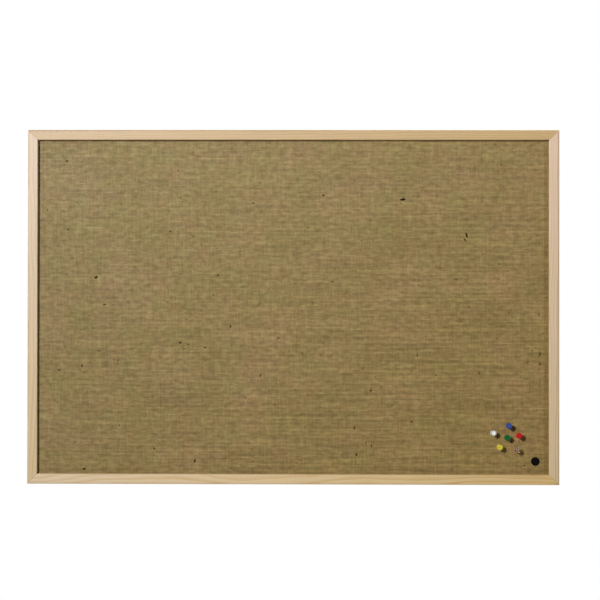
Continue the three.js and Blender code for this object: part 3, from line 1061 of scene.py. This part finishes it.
def kraft_finish():
    material, tree = new_finish("kraft_paper", Roughness=0.7, Specular_IOR_Level=0.3)
    place = place_of(tree)
    x, y, z = split(tree, place)
    warped = noise(tree, place, scale=60, detail=2).outputs["Color"]
    bent = vector_calc(tree, "MULTIPLY_ADD", warped, (fibre_bend,) * 3, place)
    slanted = [
        put(tree, "ShaderNodeMapping", {
            "Vector": bent, "Rotation": (0, math.radians(turn), 0), "Scale": paper_fibre,
        }, vector_type="TEXTURE").outputs[0] for turn in (8, -50, 68)
    ]
    fibre = highest(tree, *(noise(tree, at, detail=2).outputs[0] for at in slanted))
    clouds = noise(tree, place, scale=26, detail=5, roughness=0.6).outputs[0]
    ribs = calc(tree, "SINE", calc(tree, "MULTIPLY", x, 2 * math.pi / paper_rib))
    specks = noise(tree, place, scale=900, detail=1).outputs[0]
    colour = mix(tree, ramp(tree, clouds, 0.3, 0.7), paint(165, 129, 91), paint(172, 136, 97))
    colour = shade(tree, colour, ramp(tree, fibre, 0.45, 0.8, 0.92, 1.12, soft=False))
    colour = shade(tree, colour, ramp(tree, ribs, -1, 1, 0.985, 1.015, soft=False))
    colour = shade(tree, colour, ramp(tree, specks, 0.73, 0.8, 1, 0.6))
    cockle = noise(tree, scaled(tree, (x, 11), (y, 1), (z, 7)), detail=1).outputs[0]
    swell = relief(tree, cockle, paper_cockle)
    finish_surface(tree, Base_Color=colour, Normal=relief(tree, fibre, paper_relief, under=swell))
    return material


dress("softboard_core", softboard_finish())
dress("kraft_backing_paper", kraft_finish())
core_low, core_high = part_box("softboard_core")
print("panel dressed, with a core", round((core_high.y - core_low.y) / mm, 1), "mm thick")

# %% [markdown]
# ## Hanger plates, screws and nails
#
# The plates are pressed steel with a thin zinc coat: bluish grey, a little cloudy, with fine
# scratches along the rolling direction. Metal takes its look from what it mirrors, so small
# changes of roughness matter more here than colour does.

# %% Zinc on the plates
zinc_relief = 0.006 * mm


def zinc_finish():
    material, tree = new_finish("zinc_plate", Metallic=1.0)
    place = place_of(tree)
    clouds = noise(tree, place, scale=230, detail=4, roughness=0.65).outputs[0]
    lengthwise = put(tree, "ShaderNodeMapping", {
        "Vector": place, "Scale": (60, 4000, 4000), "Rotation": (0, math.radians(4), 0),
    }).outputs[0]
    scratches = noise(tree, lengthwise, detail=2).outputs[0]
    cloudy = ramp(tree, clouds, 0.3, 0.7)
    roughness = ramp(tree, cloudy, 0, 1, 0.32, 0.44, soft=False)
    finish_surface(
        tree, Base_Color=mix(tree, cloudy, paint(141, 146, 151), paint(163, 165, 163)),
        Roughness=calc(tree, "ADD", roughness, ramp(tree, scratches, 0.4, 0.7, 0, 0.1)),
        Normal=relief(tree, scratches, zinc_relief),
    )
    return material


zinc = zinc_finish()
print("zinc nodes:", len(zinc.node_tree.nodes))

# %% [markdown]
# The nails and screws are brighter, and so are the pins' needles. The bottom of the screws'
# recesses is painted darker, as painted shade and as dust and oil. No texture has to find the
# recesses: from 0.3 to 0.9 mm in front of the board's rear face, the finish of a screw goes from
# clean to dark.

# %% Bright steel, and the four corners
steel_relief = 0.004 * mm
recess_shade_start = -0.3 * mm
recess_shade_full = -0.9 * mm


def steel_finish(name, shade_and_dust=False):
    """Bright steel. In a screw's recess it gets darker with depth, as painted shade and dust."""
    material, tree = new_finish(name, Metallic=1.0)
    place = place_of(tree)
    marks = noise(tree, place, scale=1600, detail=3).outputs[0]
    colour = mix(tree, marks, paint(160, 162, 163), paint(176, 176, 174))
    if shade_and_dust:
        _, depth, _ = split(tree, place)
        # Painted shade and dust in the recess: darker with depth
        colour = shade(tree, colour, ramp(tree, depth, recess_shade_full, recess_shade_start, 0.15, 1))
    finish_surface(
        tree, Base_Color=colour, Roughness=ramp(tree, marks, 0.3, 0.7, 0.24, 0.34),
        Normal=relief(tree, marks, steel_relief),
    )
    return material


steel = steel_finish("bright_steel")
screw_steel = steel_finish("screw_steel", shade_and_dust=True)
corners = ("bottom_left", "top_left", "top_right", "bottom_right")
for corner in corners:
    dress(f"{corner}_hanger_plate", zinc, edge=0.15 * mm)
    dress(f"{corner}_mitre_nail", steel)
    for number in range(1, 5):
        dress(f"{corner}_screw_{number}", screw_steel, edge=0.08 * mm)
print("corners dressed:", len(corners))

# %% [markdown]
# ## Push pins
#
# A push pin's handle is one turned shape: a small boss at the foot, a collar, a narrow waist and
# a head that flares out to a thumb disc. Nothing beats a lathe for that: a profile of radius
# and height is spun round the needle. The CAD handle has the same profile with few facets, so the
# finer one replaces it at the same place. A small round step in the crown is the gate mark, where
# the mould was filled.

# %% Profile helpers
rise_share = 0.55
reach_share = 0.5
drop_share = 0.12


def arc(centre, radius, start, end, steps):
    """Points of an arc, as (radius, height) pairs, with angles in degrees."""
    angles = np.radians(np.linspace(start, end, steps + 1))
    return [(centre[0] + radius * math.cos(a), centre[1] + radius * math.sin(a)) for a in angles]


def flare(start, end, steps):
    """A smooth S from one (radius, height) to another that leaves upright and arrives sloping."""
    wider, higher = end[0] - start[0], end[1] - start[1]
    upright = (start[0], start[1] + rise_share * higher)
    sloping = (end[0] - reach_share * wider, end[1] - drop_share * higher)
    knots = (start, upright, sloping, end)
    points = []
    for t in np.linspace(0, 1, steps + 1):
        shares = ((1 - t) ** 3, 3 * (1 - t) ** 2 * t, 3 * (1 - t) * t**2, t**3)
        points.append(tuple(sum(w * k[axis] for w, k in zip(shares, knots)) for axis in (0, 1)))
    return points


print("an arc of 90 degrees in 3 steps has", len(arc((0, 0), 1, 0, 90, 3)), "points")

# %% [markdown]
# The lathe makes one ring of points for each point of the profile, or a single point where the
# radius is zero, and joins each ring to the next. The shape is spun round Z at the origin first,
# and then moved to the needle's tip and leant over to the pin's own direction.

# %% Lathe
def turned(name, profile, sides, tip, outwards):
    """Spins a profile, in mm up the needle from its tip, into a closed mesh in place."""
    points, faces, rings = [], [], []
    for radius, height in profile:
        if radius == 0:
            rings.append([len(points)])
            points.append((0, 0, height * mm))
        else:
            rings.append(list(range(len(points), len(points) + sides)))
            for side in range(sides):
                turn = 2 * math.pi * side / sides
                points.append((radius * mm * math.cos(turn), radius * mm * math.sin(turn), height * mm))
    for lower, upper in zip(rings, rings[1:]):
        for side in range(sides):
            after = (side + 1) % sides
            if len(lower) == 1:
                faces.append((lower[0], upper[after], upper[side]))
            elif len(upper) == 1:
                faces.append((lower[side], lower[after], upper[0]))
            else:
                faces.append((lower[side], lower[after], upper[after], upper[side]))
    mesh = bpy.data.meshes.new(name)
    mesh.from_pydata(points, [], faces)
    leaning = outwards.to_track_quat("Z", "Y").to_matrix().to_4x4()
    mesh.transform(Matrix.Translation(tip) @ leaning)
    mesh.shade_smooth()
    mesh.set_sharp_from_angle(angle=math.radians(50))
    return add_object(name, mesh)


print("lathe ready")

# %% [markdown]
# The handle's profile runs from the end of the needle's bore down to the foot, and then up the
# outside to the middle of the crown. Heights are counted from the needle's tip. The small
# roundings are where a moulded part catches the light, so each edge has one.

# %% Pin shapes, in mm
handle_foot = 10.5
handle_height = 12.5
head_radius = 4.7
head_thickness = 1.9
head_crown = 0.4
waist_radius = 2.5
collar_radius = 4.6
collar_thickness = 1.5
boss_radius = 1.9
boss_height = 1.0
edge_round = 0.45
boss_round = 0.2
boss_fillet = 0.25
waist_fillet = 0.7
waist_height = 2.4
head_undercut = 0.25
gate_angle = 12
gate_step = 0.12
gate_slope = 0.08
gate_dome = 0.02
needle_radius = 0.55
needle_bore = 0.67
bore_chamfer = 0.15
needle_in_handle = 5.3
needle_end_room = 0.1
needle_chamfer = 0.1
point_length = 3.2


def handle_profile():
    """From the bottom of the needle's bore, round the outside, to the middle of the crown."""
    collar_base = handle_foot + boss_height
    collar_top = collar_base + collar_thickness
    disc_top = handle_foot + handle_height - head_crown
    disc_base = disc_top - head_thickness
    crown_radius = (head_radius - edge_round) ** 2 / (2 * head_crown)
    crown_angle = math.degrees(math.asin((head_radius - edge_round) / crown_radius))
    crown_middle = (0, disc_top + head_crown - crown_radius)
    crown = arc(crown_middle, crown_radius, 90 - crown_angle, 90 - gate_angle, 6)
    gate_radius, gate_top = crown[-1]
    bore_end = handle_foot + needle_in_handle + needle_end_room
    return [
        (0, bore_end), (needle_bore, bore_end),
        (needle_bore, handle_foot + bore_chamfer), (needle_bore + bore_chamfer, handle_foot),
        *arc((boss_radius - boss_round, handle_foot + boss_round), boss_round, -90, 0, 3),
        *arc((boss_radius + boss_fillet, collar_base - boss_fillet), boss_fillet, 180, 90, 3),
        *arc((collar_radius - edge_round, collar_base + edge_round), edge_round, -90, 0, 5),
        *arc((collar_radius - edge_round, collar_top - edge_round), edge_round, 0, 90, 5),
        *arc((waist_radius + waist_fillet, collar_top + waist_fillet), waist_fillet, -90, -180, 6),
        *flare((waist_radius, collar_top + waist_height), (head_radius - head_undercut, disc_base), 14),
        *arc((head_radius - edge_round, disc_base + edge_round), edge_round, -50, 0, 4),
        *arc((head_radius - edge_round, disc_top - edge_round), edge_round, 0, 80, 5),
        *crown[1:],
        (gate_radius - gate_slope, gate_top - gate_step), (0, gate_top - gate_step + gate_dome),
    ]


def needle_profile():
    """A steel needle with a long ground point, from its tip to its end in the handle."""
    point = [(needle_radius * share**0.8, point_length * share) for share in np.linspace(0, 1, 9)]
    end = handle_foot + needle_in_handle
    shoulder = [(needle_radius, end - needle_chamfer), (needle_radius - needle_chamfer, end)]
    return [*point, *shoulder, (0, end)]


print("handle profile:", len(handle_profile()), "points")

# %% [markdown]
# The plastics are glossy styrene. Light goes a little way into the coloured ones, which is what
# makes plastic look softer than paint, so they scatter under the surface. Faint swirls from the
# moulding vary the colour, and fine scratches vary the gloss.

# %% Coloured plastic
scuff_relief = 0.004 * mm
glow_depth = 0.6 * mm


def scuffed(tree, place, **links):
    """Finishes a plastic surface with the fine scratches of handling."""
    scuff = noise(tree, place, scale=2400, detail=2).outputs[0]
    finish_surface(
        tree, Roughness=ramp(tree, scuff, 0.35, 0.7, 0.16, 0.3),
        Normal=relief(tree, scuff, scuff_relief), **links,
    )


def plastic_finish(name, light, deep, gloss=0.14):
    material, tree = new_finish(
        name, Specular_IOR_Level=gloss,
        Subsurface_Weight=0.06, Subsurface_Radius=(1, 1, 1), Subsurface_Scale=glow_depth,
    )
    place = place_of(tree)
    swirl = noise(tree, place, scale=320, detail=3, roughness=0.6).outputs[0]
    scuffed(tree, place, Base_Color=mix(tree, ramp(tree, swirl, 0.3, 0.7), light, deep))
    return material


print("scratches", round(scuff_relief / mm, 3), "mm deep")

# %% [markdown]
# The white pin has a painted highlight and painted shade: its colour goes from bright white near
# the needle's line to a dull brownish grey at its rim, with the distance from that line. The sixth
# pin is clear, and lets the cloth behind it through.

# %% White and clear plastic
highlight_radius = 1.6 * mm
rim_shade_radius = 4.9 * mm


def white_highlight_and_shade_finish(entry, outwards):
    material, tree = new_finish("white_plastic", Specular_IOR_Level=0.5)
    place = place_of(tree)
    from_entry = vector_calc(tree, "SUBTRACT", place, entry)
    aside = vector_calc(tree, "LENGTH", vector_calc(tree, "CROSS_PRODUCT", from_entry, outwards))
    # Painted highlight in the middle of the head, painted shade towards its rim
    share = ramp(tree, aside, highlight_radius, rim_shade_radius)
    scuffed(tree, place, Base_Color=mix(tree, share, paint(250, 254, 253), paint(164, 162, 140)))
    return material


def clear_finish():
    material, tree = new_finish(
        "clear_plastic", Base_Color=paint(234, 220, 208), Transmission_Weight=0.96, IOR=1.27,
    )
    scuff = noise(tree, place_of(tree), scale=1800, detail=2).outputs[0]
    finish_surface(tree, Roughness=ramp(tree, scuff, 0.35, 0.75, 0.05, 0.14))
    return material


print("white from the needle's line to", round(highlight_radius / mm, 1), "mm")

# %% [markdown]
# Handle and needle stay two pieces, as on the real pin, and ride on the same body, so that both
# slide out together. Each stands in for the CAD node of its kind.

# %% The six pins
plastics = {
    "white": white_highlight_and_shade_finish(*pin_places["white"][:2]),
    "blue": plastic_finish("blue_plastic", paint(60, 84, 150), paint(50, 72, 134)),
    "green": plastic_finish("green_plastic", paint(18, 100, 46), paint(13, 86, 38)),
    "red": plastic_finish("red_plastic", paint(198, 26, 28), paint(180, 20, 23)),
    "yellow": plastic_finish("yellow_plastic", paint(216, 200, 70), paint(200, 184, 54)),
    "clear": clear_finish(),
}
for colour, (_, outwards, tip) in pin_places.items():
    handle = turned(f"{colour}_handle", handle_profile(), 56, tip, outwards)
    handle.data.materials.append(plastics[colour])
    needle = turned(f"{colour}_needle", needle_profile(), 20, tip, outwards)
    needle.data.materials.append(steel)
    for piece, replaced, slot in (
        (handle, f"{colour}_pin_handle", f"{colour}_plastic"),
        (needle, f"{colour}_pin_needle", "bright_steel"),
    ):
        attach(piece, f"{colour}_pin")
        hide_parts(replaced)
print("pins:", ", ".join(pin_places))

# %% [markdown]
# ## Badge
#
# The badge is a small plain black disc with a low dome and a rolled rim, stuck on the cloth. A
# lathe makes it, with a fine groove inside the rim.

# %% Badge, with its profile in mm
badge_low, badge_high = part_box("badge_disc")
badge_size = badge_high - badge_low
badge_middle = (badge_low + badge_high) / 2
rim_height = 1.05
rim_width = 1.1
rim_round = 0.35
rim_chamfer = 0.15
rim_inner_round = 0.12
groove_width = 0.3
groove_level = 0.9
dome_foot = 0.95


def badge_profile():
    """Radius and height in mm, from the middle of the back to the top of the dome."""
    radius = badge_size.x / 2 / mm
    height = badge_size.y / mm
    dome_radius = radius - rim_width
    rise = height - dome_foot
    turns = np.radians(np.linspace(0, 90, 11))
    dome = [(dome_radius * math.cos(a), dome_foot + rise * math.sin(a)) for a in turns]
    return [
        (0, 0), (radius - rim_chamfer, 0), (radius, rim_chamfer),
        *arc((radius - rim_round, rim_height - rim_round), rim_round, 0, 90, 5),
        *arc((dome_radius + groove_width, rim_height - rim_inner_round), rim_inner_round, 90, 200, 4),
        (dome_radius, groove_level), *dome[:-1], (0, height),
    ]


badge_back = Vector((badge_middle.x, badge_high.y, badge_middle.z))
badge = turned("plain_badge", badge_profile(), 72, badge_back, Vector((0, -1, 0)))
badge.data.materials.append(plastic_finish("black_enamel", paint(6, 6, 7), paint(3, 3, 4), gloss=0.05))
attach(badge, "board")
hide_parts("badge_disc")
print("badge", round(badge_size.x / mm, 1), "mm across")
